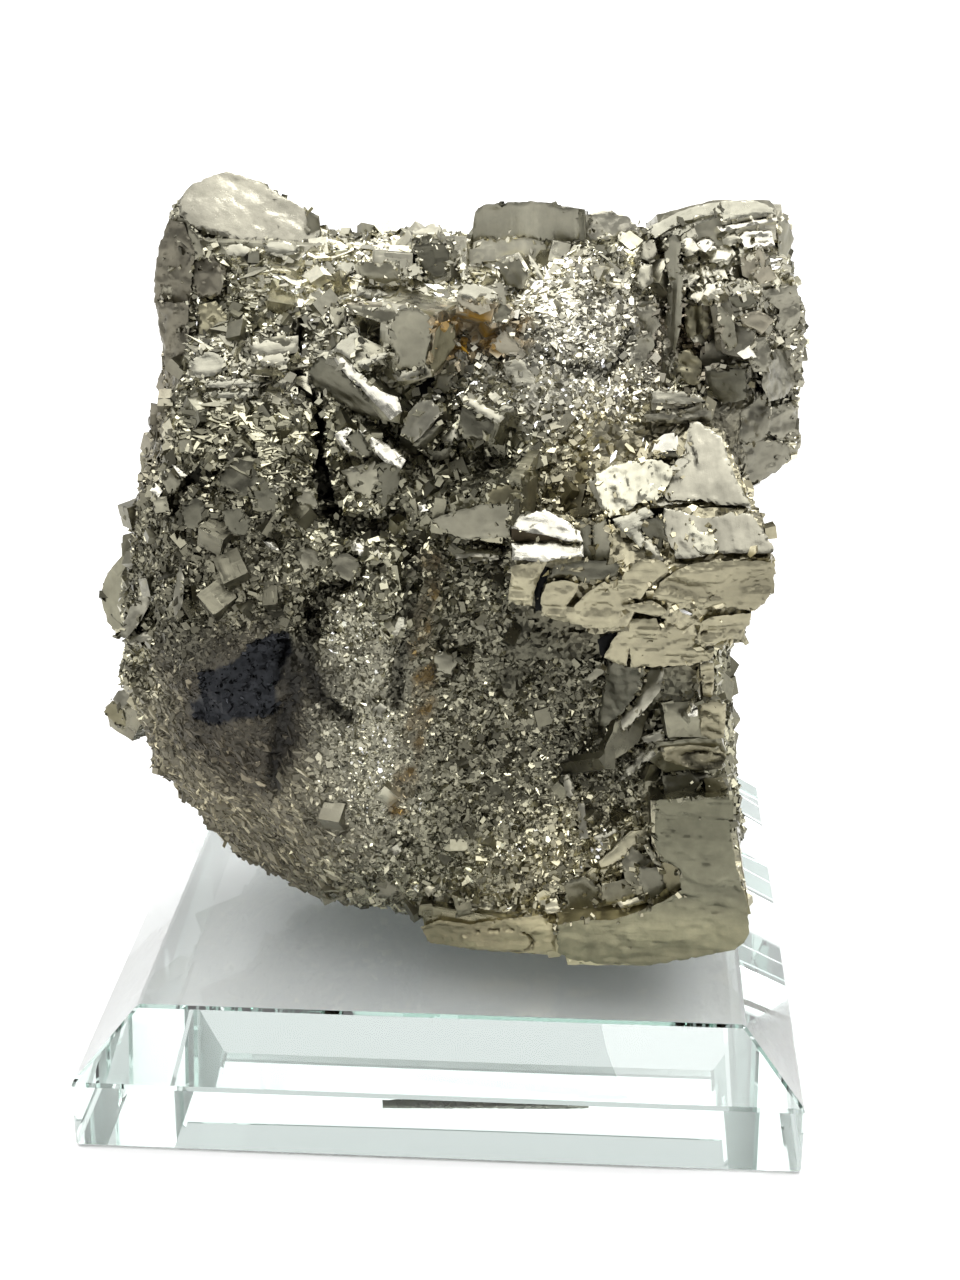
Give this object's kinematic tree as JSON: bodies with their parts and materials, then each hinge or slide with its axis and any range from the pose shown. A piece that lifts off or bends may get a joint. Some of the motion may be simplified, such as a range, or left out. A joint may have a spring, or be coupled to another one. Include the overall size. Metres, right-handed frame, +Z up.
{
  "type": "chalcopyrite specimen",
  "caption": "Metallic sulphide mineral cluster of grown-together cubes and broken masses, standing on a square clear glass block with a bevelled top edge.",
  "frame": {"origin": "middle of the glass block's underside", "axes": "+Z up out of the block, -Y towards the front of the specimen, the face that is meant to be looked at"},
  "size_m": [0.1068, 0.1, 0.1244],
  "materials": {
    "pyrite": "metallic olive grey to pale brass, crystal faces bright, crusts dull",
    "clear_glass": "polished clear glass, faint aqua green in its edges"
  },
  "bodies": {
    "root": {"mineral_cluster": "pyrite", "glass_base": "clear_glass"}
  },
  "joints": []
}
